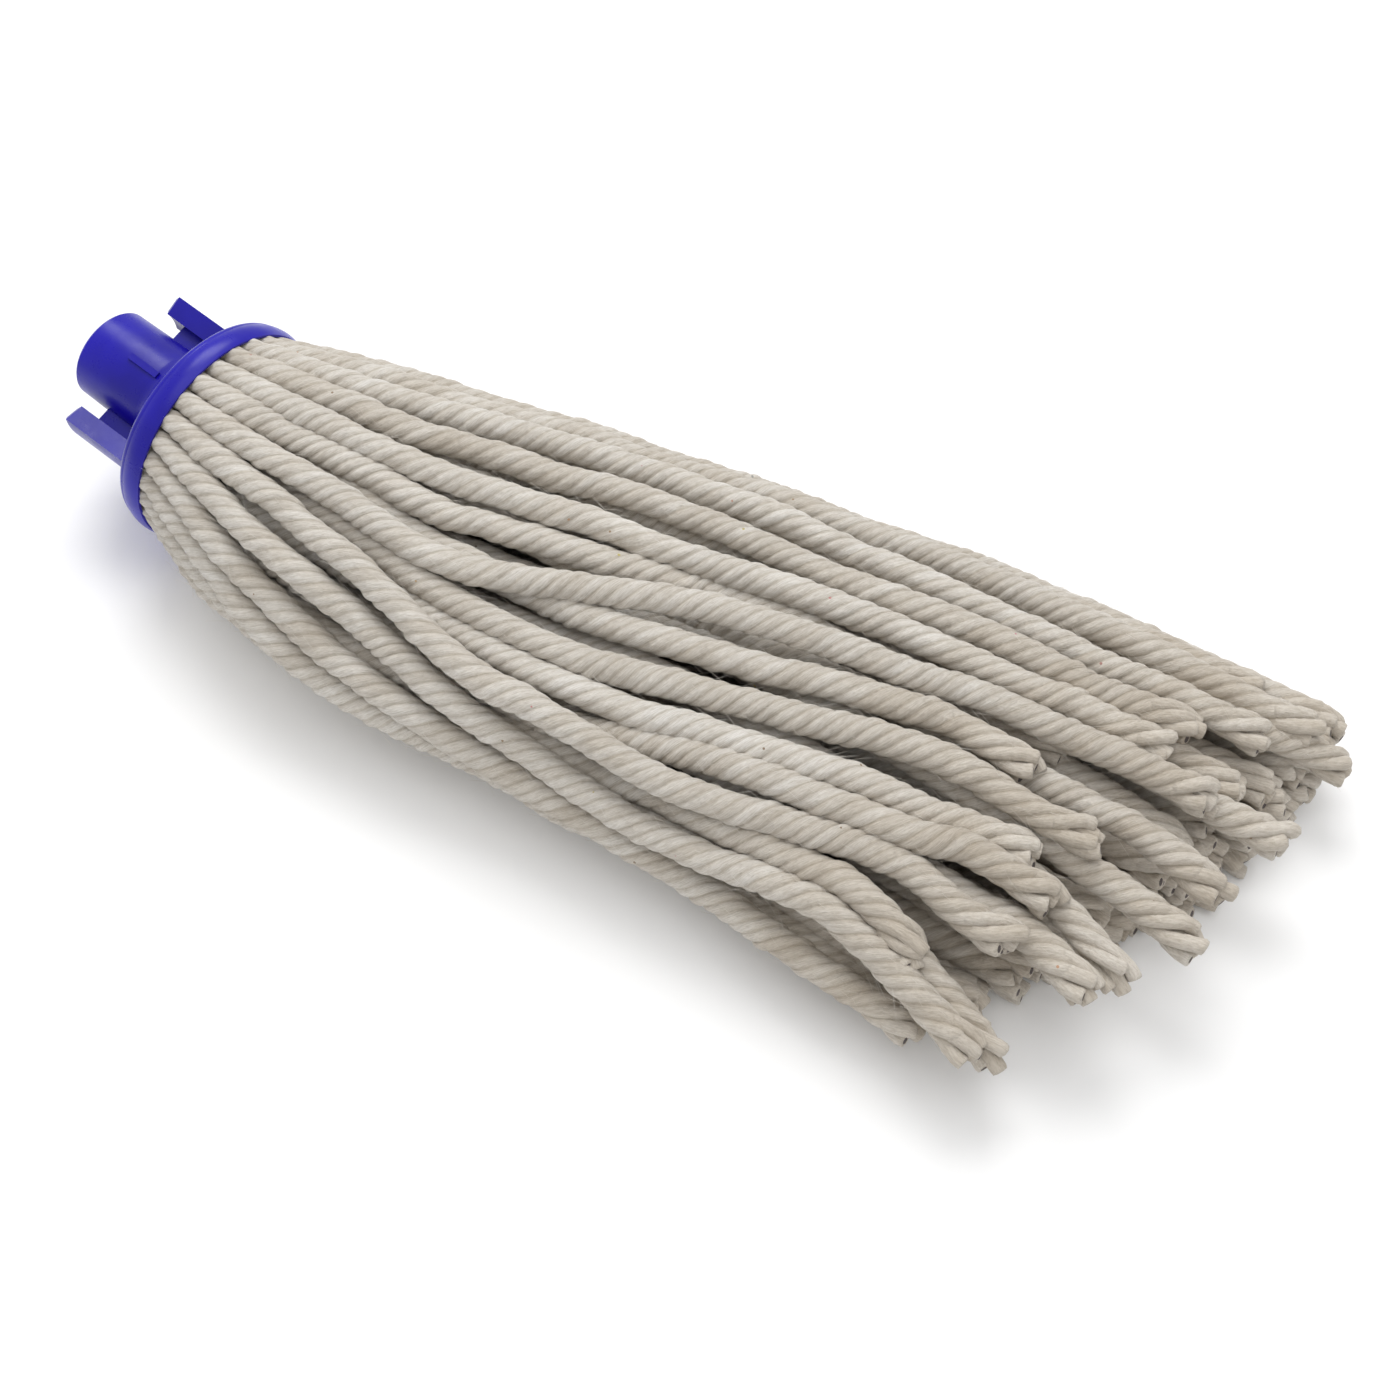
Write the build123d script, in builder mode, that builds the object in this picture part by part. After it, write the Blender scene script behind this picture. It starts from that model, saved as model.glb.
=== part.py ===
"""Socket mop head: a moulded cap with a handle socket, and folded twisted cotton yarn clamped in it.

The head lies on its side on a surface at z = 0, with the rim of the cap and the lowest yarn touching it.
+X runs along the mop from the cap to the cut ends of the yarn. The cap's socket end is tipped up a little.
Millimetres throughout.
"""
from build123d import *
from math import atan2, cos, pi, radians, sin, sqrt, tan
import os

os.makedirs("parts", exist_ok=True)

# ---- driving dimensions ----
CAP_TILT = 10.0  # degrees that the socket end is raised
RIM_X = 22.26  # middle of the cap's open edge, so that the box round cap and plug is centred over the origin
RIM_Z = 37.46  # and so that the lip touches z = 0
RIM_R = 37.8  # outer radius of the cap's lip at its open edge
LIP_R = 38.5  # greatest radius of the lip, which bulges a little
LIP_INNER_R = 37.0  # inner radius of the lip
LIP_H = 9.0  # height of the lip's shoulder above the rim
CAP_H = 50.6  # rim to socket mouth
HANDLE_R = 12.0  # bore for a 24 mm handle
SOCKET_R = 15.4  # outer radius of the socket at its mouth
SOCKET_FOOT_R = 15.9  # and where it flares into the dome
STOP_H = 15.7  # shoulder that the handle's end stops on
RECESS_R = 7.0  # recess for the screw's head, below the shoulder
RECESS_H = 11.0  # floor of that recess
BOSS_R = 14.5  # boss under the socket that the yarn is clamped against
BOSS_H = 6.0  # its lower face
LUG_IN_R = 21.0  # claw lugs: part of a ring round the socket
LUG_OUT_R = 27.8
LUG_SPAN = 26.0  # degrees of the ring that each lug takes
LUG_TURN = -16.0  # degrees that the pair is turned round the socket, which raises the lug at +Y
LUG_FOOT_H = 14.0  # inside the wall of the dome
LUG_TOP_H = 43.6
LUG_BEVEL = 1.1
WEB_TOP_H = 37.0  # bottom of the notch between socket and lug
WEB_T = 3.0
WEB_FOOT_H = 16.0
SOCKET_MID_R = 13.6  # inside the socket's wall, where webs and ribs start
RIB_T = 2.2  # slim ribs on the socket, a quarter turn from the lugs
RIB_R = 16.7
RIB_LOW_H = 23.0
RIB_TOP_H = 34.7

PAD_H = 3.0  # lower face of the yarn squeezed between boss and plug
PLUG_R = 14.0
PLUG_LENGTH = 9.0
SCREW_R = 1.9
SCREW_CLEAR_R = 2.3
SCREW_LENGTH = 16.0
HEAD_R = 4.0
HEAD_H = 2.4
HEAD_ROUND = 1.2
SLOT_LENGTH = 3.6  # cross recess in the head
SLOT_W = 0.8
SLOT_DEPTH = 1.3
TIP_BEVEL = 1.0
WASHER_R = 5.6
WASHER_T = 1.0

STRAND_D = 7.4  # a twisted strand of the mop yarn
STRAND_R = STRAND_D / 2
LAYER = 8.8  # from one layer of strands to the next, out in the bundle
RING_R = (33.0, 25.4, 18.4)  # where the three rings of strands start, inside the cap
RING_STEP = (3.8, 2.9, 2.1)  # how far each ring has spread when it's clear of the rim
START_H = 3.6  # strands start this far inside the rim, close under the folded yarn
FOLD_H = 4.6  # lower face of the folded yarn, round the plug
CLEAR_H = -12.0  # and are this far outside it at their second point
ARC_SHARE = 0.45  # of the shorter run beside a corner, taken up by its arc

# The bundle of yarn, by its section at stations along X:
# distance from the rim, middle y, half width, height of the middle, height of the top
# (all to the strands' own middles).
SECTIONS = (
    (0, 0.0, 37.0, 37.0, 72.0),
    (45, 2.5, 49.5, 33.0, 68.0),
    (100, 12.0, 60.0, 28.0, 60.0),
    (170, 26.0, 64.5, 25.0, 55.0),
    (235, 35.0, 70.5, 22.5, 51.0),
    (300, 38.5, 77.5, 20.0, 42.0),
    (350, 39.5, 78.5, 19.0, 35.0),
)

# Routes of the strands, by hand. Each is the strand's ring in the cap, its clock angle there
# (0 at +Y, 90 at the top) and then the points along the bundle: distance from the rim, clock angle,
# and how many layers in from the bundle's surface. Below 0 it lies on top of the others.
ROUTES = {
    "yarn_01": (0, 6, [(38, 4, 0), (84, 353, 0), (137, 344, 0),
        (190, 343, 0), (243, 346, 0), (291, 344, 0), (334, 347, 0)]),
    "yarn_02": (0, 18, [(37, 15, 0), (85, 6, 0), (134, 357, 0),
        (188, 353, 0), (241, 357, 0), (289, 353, 0), (331, 356, 0)]),
    "yarn_03": (0, 30, [(39, 27, 0), (83, 16, 0), (138, 7, 0),
        (192, 3, 0), (244, 6, 0), (290, 5, 0), (335, 6, 0)]),
    "yarn_04": (0, 42, [(38, 37, 0), (86, 25, 0), (135, 16, 0),
        (187, 11, 0), (236, 13, 0), (277, 15, 0), (312, 14, 0)]),
    "yarn_05": (0, 54, [(38, 49, 0), (84, 35, 0), (137, 25, 0),
        (190, 21, 0), (243, 22, 0), (290, 23, 0), (331, 17, 0)]),
    "yarn_06": (0, 66, [(38, 62, 0), (70, 54, 0), (111, 41, 0), (157, 35, 0),
        (211, 40, 0), (257, 39, 0), (296, 33, 0), (321, 29, 0)]),
    "yarn_07": (0, 78, [(39, 75, 0), (70, 71, 0), (108, 61, 0), (150, 54, 0),
        (203, 57, -0.1), (247, 52, -0.1), (278, 49, -0.1), (303, 41, -0.1)]),
    "yarn_08": (0, 90, [(38, 90, 0), (70, 87, 0), (116, 80, 0), (164, 75, 0),
        (203, 70, 0), (237, 66, 0), (269, 60, 0), (300, 52, 0.1)]),
    "yarn_09": (0, 102, [(37, 101, 0.1), (70, 98, 0.3), (100, 98, 0.4),
        (138, 88, 0.5), (176, 79, 0.7), (224, 71, 0.9), (276, 67, 0.9)]),
    "yarn_10": (0, 114, [(38, 114, 0), (70, 115, -0.2), (103, 121, -0.2), (140, 108, -0.1), (183, 91, -0.3),
        (221, 86, -0.3), (258, 76, -0.1), (296, 66, 0), (319, 60, 0)]),
    "yarn_11": (0, 126, [(38, 127, 0), (62, 129, -0.1), (90, 134, -0.3), (125, 147, -0.5), (158, 150, -0.5),
        (195, 154, -0.4), (228, 149, -0.1), (259, 142, 0), (280, 146, 0), (296, 145, 0)]),
    "yarn_12": (0, 138, [(38, 140, 0), (62, 145, 0), (95, 150, 0.2), (125, 160, 0.1), (158, 168, 0.1),
        (192, 171, 0), (227, 165, 0), (254, 161, 0), (278, 167, 0), (302, 172, 0)]),
    "yarn_13": (0, 150, [(38, 154, 0), (62, 162, 0), (95, 171, 0.2), (130, 176, 0.1), (172, 181, 0),
        (209, 188, 0), (240, 184, 0), (264, 186, 0), (285, 190, 0)]),
    "yarn_14": (0, 162, [(39, 167, 0), (62, 177, 0), (90, 185, 0), (131, 189, 0),
        (183, 192, 0), (222, 195, 0), (255, 194, 0), (282, 199, 0)]),
    "yarn_15": (0, 174, [(38, 180, 0), (83, 195, 0), (135, 199, 0),
        (191, 201, 0), (238, 206, 0), (272, 204, 0), (295, 207, 0)]),
    "yarn_16": (0, 186, [(37, 193, 0), (85, 205, 0), (136, 208, 0),
        (187, 209, 0), (232, 214, 0), (265, 212, 0), (290, 215, 0)]),
    "yarn_17": (0, 198, [(38, 205, 0), (84, 214, 0), (137, 216, 0),
        (190, 217, 0), (239, 222, 0), (275, 219, 0), (300, 222, 0)]),
    "yarn_18": (0, 210, [(39, 216, 0), (83, 223, 0), (134, 225, 0),
        (188, 226, 0), (241, 231, 0), (276, 229, 0), (303, 232, 0)]),
    "yarn_19": (0, 222, [(38, 227, 0), (86, 233, 0), (136, 234, 0),
        (191, 235, 0), (240, 240, 0), (280, 238, 0), (308, 240, 0)]),
    "yarn_20": (0, 234, [(37, 238, 0), (84, 243, 0), (135, 244, 0),
        (189, 245, 0), (243, 249, 0), (284, 248, 0), (314, 250, 0)]),
    "yarn_21": (0, 246, [(38, 249, 0), (83, 253, 0), (137, 253, 0),
        (190, 255, 0), (241, 258, 0), (284, 257, 0), (315, 258, 0)]),
    "yarn_22": (0, 258, [(39, 259, 0), (85, 262, 0), (134, 263, 0),
        (187, 264, 0), (240, 266, 0), (286, 266, 0), (318, 268, 0)]),
    "yarn_23": (0, 270, [(38, 270, 0), (84, 272, 0), (136, 273, 0),
        (191, 274, 0), (242, 275, 0), (289, 276, 0), (321, 277, 0)]),
    "yarn_24": (0, 282, [(37, 281, 0), (83, 282, 0), (135, 283, 0),
        (188, 284, 0), (241, 284, 0), (288, 286, 0), (325, 287, 0)]),
    "yarn_25": (0, 294, [(38, 292, 0), (86, 291, 0), (137, 293, 0),
        (190, 293, 0), (243, 293, 0), (290, 295, 0), (329, 296, 0)]),
    "yarn_26": (0, 306, [(39, 303, 0), (84, 301, 0), (134, 301, 0),
        (189, 303, 0), (240, 302, 0), (289, 304, 0), (328, 304, 0)]),
    "yarn_27": (0, 318, [(38, 314, 0), (85, 311, 0), (136, 310, 0),
        (191, 311, 0), (242, 311, 0), (290, 313, 0), (332, 313, 0)]),
    "yarn_28": (0, 330, [(37, 326, 0), (83, 321, 0), (135, 318, 0),
        (188, 319, 0), (241, 320, 0), (288, 321, 0), (334, 322, 0)]),
    "yarn_29": (0, 342, [(38, 338, 0), (84, 331, 0), (137, 326, 0),
        (190, 327, 0), (243, 328, 0), (291, 329, 0), (336, 331, 0)]),
    "yarn_30": (0, 354, [(39, 350, 0), (86, 342, 0), (134, 335, 0),
        (187, 335, 0), (240, 337, 0), (289, 336, 0), (337, 339, 0)]),
    "yarn_31": (1, 8, [(40, 9, 1), (96, 4, 1), (150, 1, 1),
        (206, 0, 1), (260, 2, 1), (306, 1, 1), (337, 3, 1)]),
    "yarn_32": (1, 24, [(39, 23, 1.1), (94, 20, 1), (152, 17, 1),
        (208, 16, 1), (258, 17, 1), (292, 16, 1), (318, 15, 1)]),
    "yarn_33": (1, 41, [(41, 41, 1), (97, 36, 1), (149, 32, 1), (205, 32, 1),
        (261, 31, 0.9), (300, 24, 0.7), (324, 18, 0.6), (343, 11, 0.9)]),
    "yarn_34": (1, 57, [(40, 57, 1), (95, 54, 1), (151, 47, 1),
        (207, 47, 1), (259, 46, 1), (298, 43, 1), (322, 40, 1)]),
    "yarn_35": (1, 74, [(39, 75, 1.1), (96, 71, 1), (150, 64, 1), (204, 61, 1),
        (257, 59, 1), (300, 57, 0.8), (325, 53, 0.8), (341, 46, 0.9)]),
    "yarn_36": (1, 90, [(41, 89, 1), (94, 87, 1.1), (152, 91, 1.3), (206, 89, 1.1),
        (250, 90, 1), (283, 90, 0.8), (309, 87, 0.3), (333, 92, 0.3)]),
    "yarn_37": (1, 106, [(40, 107, 1), (97, 110, 0.9), (135, 117, 0.5), (167, 113, 0.2),
        (202, 104, 0.1), (228, 98, 0.2), (252, 90, 0), (275, 92, 0)]),
    "yarn_38": (1, 123, [(39, 122, 1), (75, 124, 0.8), (109, 131, 0.3), (151, 133, 0), (190, 125, 0),
        (226, 114, 0), (255, 106, 0), (286, 107, 0), (300, 104, 0)]),
    "yarn_39": (1, 139, [(41, 139, 1), (75, 137, 1), (110, 139, 0.7), (140, 142, 0.1), (168, 140, 0),
        (200, 136, 0), (237, 128, 0), (262, 125, 0.1), (288, 118, 0.2)]),
    "yarn_40": (1, 155, [(40, 155, 1), (75, 154, 1), (115, 156, 1), (155, 156, 0.7), (185, 146, 0.1),
        (217, 140, -0.1), (254, 134, -0.3), (281, 128, -0.2), (299, 131, 0)]),
    "yarn_41": (1, 172, [(40, 172, 1), (100, 170, 1), (160, 167, 1),
        (205, 164, 0.7), (236, 156, 0.1), (258, 152, -0.2), (278, 160, 0)]),
    "yarn_42": (1, 188, [(42, 188, 1), (98, 185, 1), (158, 181, 1),
        (210, 174, 1), (250, 162, 0.9), (280, 165, 0.9), (306, 180, 0.8)]),
    "yarn_43": (1, 205, [(40, 204, 1), (101, 203, 1), (161, 199, 1),
        (220, 195, 1), (264, 192, 1), (294, 198, 1)]),
    "yarn_44": (1, 221, [(41, 222, 1), (99, 219, 1), (159, 216, 1),
        (219, 213, 1), (266, 211, 1), (301, 214, 1)]),
    "yarn_45": (1, 237, [(40, 237, 1), (102, 235, 1), (162, 232, 1),
        (221, 232, 1), (268, 230, 1), (306, 232, 1)]),
    "yarn_46": (1, 254, [(42, 254, 1), (98, 250, 1), (158, 250, 1),
        (218, 249, 1), (270, 249, 1), (310, 250, 1)]),
    "yarn_47": (1, 270, [(40, 269, 1), (100, 270, 1), (161, 267, 1),
        (222, 269, 1), (276, 268, 1), (317, 270, 1)]),
    "yarn_48": (1, 286, [(41, 286, 1), (99, 285, 1), (159, 287, 1),
        (220, 286, 1), (278, 288, 1), (322, 288, 1)]),
    "yarn_49": (1, 303, [(40, 302, 1), (101, 301, 1), (162, 301, 1),
        (223, 304, 1), (280, 303, 1), (326, 305, 1)]),
    "yarn_50": (1, 319, [(42, 319, 1), (98, 316, 1), (158, 317, 1),
        (218, 318, 1), (279, 320, 1), (330, 321, 1)]),
    "yarn_51": (1, 336, [(40, 334, 1), (100, 331, 1), (161, 330, 1),
        (221, 333, 1), (281, 333, 1), (333, 335, 1)]),
    "yarn_52": (1, 352, [(41, 350, 1), (99, 346, 1), (160, 344, 1),
        (222, 345, 1), (283, 345, 1), (336, 346, 1)]),
    "yarn_53": (2, 12, [(42, 14, 2), (104, 18, 1.9), (166, 19, 1.9),
        (226, 15, 2), (270, 12, 2)]),
    "yarn_54": (2, 42, [(43, 41, 2), (103, 42, 2), (165, 40, 2),
        (227, 38, 1.9), (280, 33, 1.9), (322, 33, 1.8)]),
    "yarn_55": (2, 72, [(42, 73, 2), (105, 71, 2), (167, 69, 2),
        (225, 68, 1.9), (278, 66, 1.7), (318, 70, 1.5)]),
    "yarn_56": (2, 102, [(44, 101, 2), (104, 102, 1.9), (164, 100, 1.5),
        (226, 108, 1.1), (272, 107, 1), (308, 111, 0.7), (334, 117, 0.8)]),
    "yarn_57": (2, 132, [(42, 133, 2), (103, 130, 1.9), (166, 124, 1.2),
        (225, 127, 1.1), (270, 124, 1.1), (302, 130, 0.7), (323, 141, 0.7)]),
    "yarn_58": (2, 162, [(43, 160, 2), (105, 156, 2), (165, 148, 1.5),
        (224, 147, 1.1), (268, 142, 0.9), (296, 141, 0.7), (318, 148, 0.5)]),
    "yarn_59": (2, 192, [(42, 194, 2), (104, 198, 2), (164, 194, 2),
        (212, 186, 2), (242, 183, 2)]),
    "yarn_60": (2, 222, [(44, 223, 2), (103, 224, 2), (166, 221, 2),
        (226, 216, 1.9), (270, 213, 1.9), (302, 214, 1.8)]),
    "yarn_61": (2, 252, [(42, 253, 2), (105, 251, 2), (165, 252, 2),
        (227, 246, 1.9), (276, 241, 1.9), (309, 242, 1.8)]),
    "yarn_62": (2, 282, [(43, 281, 2), (104, 283, 2), (167, 281, 2),
        (226, 282, 1.9), (279, 280, 1.9), (318, 281, 1.8)]),
    "yarn_63": (2, 312, [(42, 313, 2), (103, 311, 2), (166, 313, 2),
        (225, 311, 1.9), (281, 314, 1.9), (322, 313, 1.8)]),
    "yarn_64": (2, 342, [(44, 340, 2), (105, 334, 2), (165, 333, 2),
        (227, 336, 1.9), (283, 338, 1.9), (328, 337, 1.8)]),
}
# Strands that start nearer the cap's middle share nodes, in pairs from opposite sides, well apart.
SHARED = {
    "inner_yarn_a": ("yarn_41", "yarn_47"),
    "inner_yarn_b": ("yarn_42", "yarn_48"),
    "inner_yarn_c": ("yarn_43", "yarn_49"),
    "inner_yarn_d": ("yarn_44", "yarn_50"),
    "inner_yarn_e": ("yarn_45", "yarn_51"),
    "inner_yarn_f": ("yarn_46", "yarn_52"),
    "inner_yarn_g": ("yarn_53", "yarn_59"),
    "inner_yarn_h": ("yarn_54", "yarn_60"),
    "inner_yarn_i": ("yarn_55", "yarn_61"),
    "inner_yarn_j": ("yarn_56", "yarn_62"),
    "inner_yarn_k": ("yarn_57", "yarn_63"),
    "inner_yarn_l": ("yarn_58", "yarn_64"),
}

# ---- places ----
TILT = radians(CAP_TILT)
RIM_CENTRE = Vector(RIM_X, 0, RIM_Z)
TO_HANDLE = Vector(-cos(TILT), 0, sin(TILT))
CAP_UP = Vector(sin(TILT), 0, cos(TILT))
CAP = Plane(origin=RIM_CENTRE, x_dir=(0, 1, 0), z_dir=TO_HANDLE)  # looking down the socket from its mouth
PROFILE = Plane(origin=RIM_CENTRE, x_dir=(0, 1, 0), z_dir=CAP_UP)  # radius across, height up the handle
CAP_AXIS = Axis(RIM_CENTRE, TO_HANDLE)


def section_at(x):
    """Middle y, half width, middle height and top height of the bundle at a distance from the rim."""
    for (x0, *low), (x1, *high) in zip(SECTIONS, SECTIONS[1:]):
        if x <= x1:
            share = (x - x0) / (x1 - x0)
            return [a + share * (b - a) for a, b in zip(low, high)]
    raise ValueError(f"{x} is past the last section")


def cap_point(ring, clock, height, spread=0.0):
    """A point on one of the cap's rings, but never lower than a strand lying on the surface."""
    out = RING_R[ring] + spread
    angle = radians(clock)
    point = RIM_CENTRE + TO_HANDLE * height + Vector(0, out * cos(angle), 0) + CAP_UP * (out * sin(angle))
    return (point.X, point.Y, max(point.Z, STRAND_R))


def bundle_point(x, clock, layer):
    """A point of the bundle, where equal steps of the clock angle are about equal steps round it."""
    middle_y, half_width, middle_z, top_z = section_at(x)
    up = top_z - middle_z
    down = middle_z - STRAND_R
    angle = radians(clock)
    turn = atan2(sqrt(half_width / up) * sin(angle), cos(angle))
    side = (up if turn > 0 else down) - layer * LAYER
    y = middle_y + (half_width - layer * LAYER) * cos(turn)
    return (RIM_X + x, y, max(middle_z + side * sin(turn), STRAND_R))


def route_points(ring, clock, along):
    """All the points of one strand, from inside the cap to its cut end."""
    first = cap_point(ring, clock, START_H)
    second = cap_point(ring, clock, CLEAR_H, RING_STEP[ring])
    return [first, second] + [bundle_point(*place) for place in along]


def corner_radii(points):
    """As large an arc at each corner as its two runs allow."""
    radii = []
    for before, corner, after in zip(points, points[1:], points[2:]):
        run_in = Vector(corner) - Vector(before)
        run_out = Vector(after) - Vector(corner)
        half_turn = radians(run_in.get_angle(run_out)) / 2
        radii.append(ARC_SHARE * min(run_in.length, run_out.length) / tan(half_turn))
    return radii


def strand(points, label):
    """A plain round tube along straight runs joined by arcs, and a line that says how it came out."""
    radii = corner_radii(points)
    with BuildPart() as tube:
        with BuildLine():
            path = FilletPolyline(*points, radius=radii)
        with BuildSketch(Plane(origin=path @ 0, z_dir=path % 0)):
            Circle(STRAND_R)
        sweep()
    length = path.length
    ratio = tube.part.volume / (pi * STRAND_R**2 * length)
    tightest = " ".join(f"{radius:.0f}" for radius in radii)
    print(f"{label}: {length:.0f} mm, volume ratio {ratio:.4f}, radii {tightest}")
    return tube


def write(piece, label):
    """Name a finished piece and write its file."""
    piece.part.label = label
    export_step(piece.part, f"parts/{label}.step")


# ---- cap: one moulding ----
with BuildPart() as socket_cap:
    with BuildSketch(PROFILE):
        with BuildLine():
            ThreePointArc((RIM_R, 0), (LIP_R, 3.4), (37.7, 6.6))
            ThreePointArc((37.7, 6.6), (37.1, 8.2), (35.6, LIP_H))
            Line((35.6, LIP_H), (34.6, LIP_H))
            ThreePointArc((34.6, LIP_H), (28.5, 13.8), (21.4, 17.6))
            ThreePointArc((21.4, 17.6), (17.5, 20.0), (SOCKET_FOOT_R, 24.0))
            Polyline(
                (SOCKET_FOOT_R, 24.0),
                (SOCKET_R, CAP_H - 0.6),
                (SOCKET_R - 0.5, CAP_H),
                (HANDLE_R + 0.7, CAP_H),
                (HANDLE_R, CAP_H - 0.8),
                (HANDLE_R, STOP_H),
                (RECESS_R, STOP_H),
                (RECESS_R, RECESS_H),
                (SCREW_CLEAR_R, RECESS_H),
                (SCREW_CLEAR_R, BOSS_H),
                (BOSS_R, BOSS_H),
                (BOSS_R, 14.6),
            )
            ThreePointArc((BOSS_R, 14.6), (27.0, 11.9), (34.8, 6.9))
            Polyline((34.8, 6.9), (36.6, 5.2), (LIP_INNER_R, 0), (RIM_R, 0))
        make_face()
    revolve(axis=CAP_AXIS)
    # claw lugs: two pieces of a ring, level with each other on either side of the socket
    with BuildSketch(CAP.offset(LUG_FOOT_H)):
        for facing in (LUG_TURN, LUG_TURN + 180):
            with BuildLine():
                arc_in = CenterArc((0, 0), LUG_IN_R, facing - LUG_SPAN / 2, LUG_SPAN)
                arc_out = CenterArc((0, 0), LUG_OUT_R, facing - LUG_SPAN / 2, LUG_SPAN)
                Line(arc_in @ 0, arc_out @ 0)
                Line(arc_in @ 1, arc_out @ 1)
            make_face()
    lugs = extrude(amount=LUG_TOP_H - LUG_FOOT_H)
    lug_tops = lugs.faces().sort_by(CAP_AXIS)[-2:]
    chamfer(lug_tops.edges(), length=LUG_BEVEL)
    # webs from the socket to the lugs, which end low to leave a notch
    with BuildSketch(CAP.offset(WEB_FOOT_H)):
        with PolarLocations((SOCKET_MID_R + LUG_IN_R + 1) / 2, 2, start_angle=LUG_TURN):
            Rectangle(LUG_IN_R + 1 - SOCKET_MID_R, WEB_T)
    extrude(amount=WEB_TOP_H - WEB_FOOT_H)
    # slim ribs on the socket
    with BuildSketch(CAP.offset(RIB_LOW_H)):
        with PolarLocations((SOCKET_MID_R + RIB_R) / 2, 2, start_angle=LUG_TURN + 90):
            Rectangle(RIB_R - SOCKET_MID_R, RIB_T)
    extrude(amount=RIB_TOP_H - RIB_LOW_H)
write(socket_cap, "socket_cap")

# ---- the folded middle of the yarn, squeezed between the boss and the plug ----
with BuildPart() as yarn_fold:
    with BuildSketch(PROFILE):
        with BuildLine():
            Polyline(
                (SCREW_CLEAR_R, PAD_H),
                (SCREW_CLEAR_R, BOSS_H),
                (BOSS_R + 0.3, BOSS_H),
                (BOSS_R + 0.3, 14.0),
            )
            ThreePointArc((BOSS_R + 0.3, 14.0), (26.6, 11.4), (34.2, 6.7))
            Polyline((34.2, 6.7), (36.0, 5.4), (36.0, FOLD_H), (17.0, FOLD_H), (PLUG_R, PAD_H))
            Line((PLUG_R, PAD_H), (SCREW_CLEAR_R, PAD_H))
        make_face()
    revolve(axis=CAP_AXIS)
write(yarn_fold, "yarn_fold")

# ---- plug that holds the yarn up against the boss ----
with BuildPart() as clamp_plug:
    with BuildSketch(PROFILE):
        with BuildLine():
            Polyline(
                (SCREW_R, PAD_H),
                (PLUG_R - 1, PAD_H),
                (PLUG_R, PAD_H - 1),
                (PLUG_R - 1.5, PAD_H - PLUG_LENGTH + 1),
                (PLUG_R - 2.5, PAD_H - PLUG_LENGTH),
                (SCREW_R, PAD_H - PLUG_LENGTH),
                (SCREW_R, PAD_H),
            )
        make_face()
    revolve(axis=CAP_AXIS)
write(clamp_plug, "clamp_plug")

# ---- washer and screw, reached from inside the socket ----
with BuildPart() as screw_washer:
    with BuildSketch(CAP.offset(RECESS_H)):
        Circle(WASHER_R)
        Circle(SCREW_CLEAR_R, mode=Mode.SUBTRACT)
    extrude(amount=WASHER_T)
write(screw_washer, "screw_washer")

HEAD_FOOT_H = RECESS_H + WASHER_T
with BuildPart() as clamp_screw:
    with BuildSketch(CAP.offset(HEAD_FOOT_H)):
        Circle(HEAD_R)
    extrude(amount=HEAD_H)
    fillet(clamp_screw.faces().sort_by(CAP_AXIS)[-1].edges(), radius=HEAD_ROUND)
    with BuildSketch(CAP.offset(HEAD_FOOT_H + HEAD_H)):
        for turn in (0, 90):
            with Locations(Rotation(0, 0, turn)):
                Rectangle(SLOT_LENGTH, SLOT_W)
    extrude(amount=-SLOT_DEPTH, mode=Mode.SUBTRACT)
    with BuildSketch(CAP.offset(HEAD_FOOT_H)):
        Circle(SCREW_R)
    extrude(amount=-SCREW_LENGTH)
    chamfer(clamp_screw.faces().sort_by(CAP_AXIS)[0].edges(), length=TIP_BEVEL)
write(clamp_screw, "clamp_screw")

# ---- strands ----
shared_names = {name for names in SHARED.values() for name in names}
for name, route in ROUTES.items():
    if name not in shared_names:
        write(strand(route_points(*route), name), name)
for label, names in SHARED.items():
    pair = [strand(route_points(*ROUTES[name]), name) for name in names]
    with BuildPart() as group:
        for tube in pair:
            add(tube.part)
    write(group, label)
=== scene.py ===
"""Looks of the string mop head: twisted cotton strands in a glossy moulded cap, on a pale floor. Metres."""
from collections import namedtuple
from math import atan2, cos, pi, radians, sin, sqrt

import bpy
import numpy as np
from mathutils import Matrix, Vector


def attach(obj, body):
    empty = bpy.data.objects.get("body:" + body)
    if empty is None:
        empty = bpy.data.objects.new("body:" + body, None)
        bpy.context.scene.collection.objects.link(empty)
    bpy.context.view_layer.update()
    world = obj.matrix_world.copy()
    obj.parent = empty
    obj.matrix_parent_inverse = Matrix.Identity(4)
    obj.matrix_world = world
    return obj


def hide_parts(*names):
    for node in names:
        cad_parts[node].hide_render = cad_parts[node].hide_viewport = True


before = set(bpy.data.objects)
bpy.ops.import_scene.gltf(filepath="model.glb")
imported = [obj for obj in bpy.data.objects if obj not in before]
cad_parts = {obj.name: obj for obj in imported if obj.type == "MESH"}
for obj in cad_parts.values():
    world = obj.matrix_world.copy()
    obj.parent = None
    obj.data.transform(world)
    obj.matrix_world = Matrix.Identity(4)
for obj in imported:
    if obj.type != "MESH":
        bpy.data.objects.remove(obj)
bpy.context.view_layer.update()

SCENE = bpy.context.scene
rng = np.random.default_rng(7)

# ---- camera ----
camera_data = bpy.data.cameras.new("camera")
camera_data.sensor_width = 36.0
camera_data.lens = 43.74
camera_data.clip_start = 0.02
camera = bpy.data.objects.new("camera", camera_data)
camera.location = (0.3704, -0.2209, 0.4345)
camera.rotation_euler = (radians(35.23), 0.0, radians(36.02))
SCENE.collection.objects.link(camera)
SCENE.camera = camera

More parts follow.
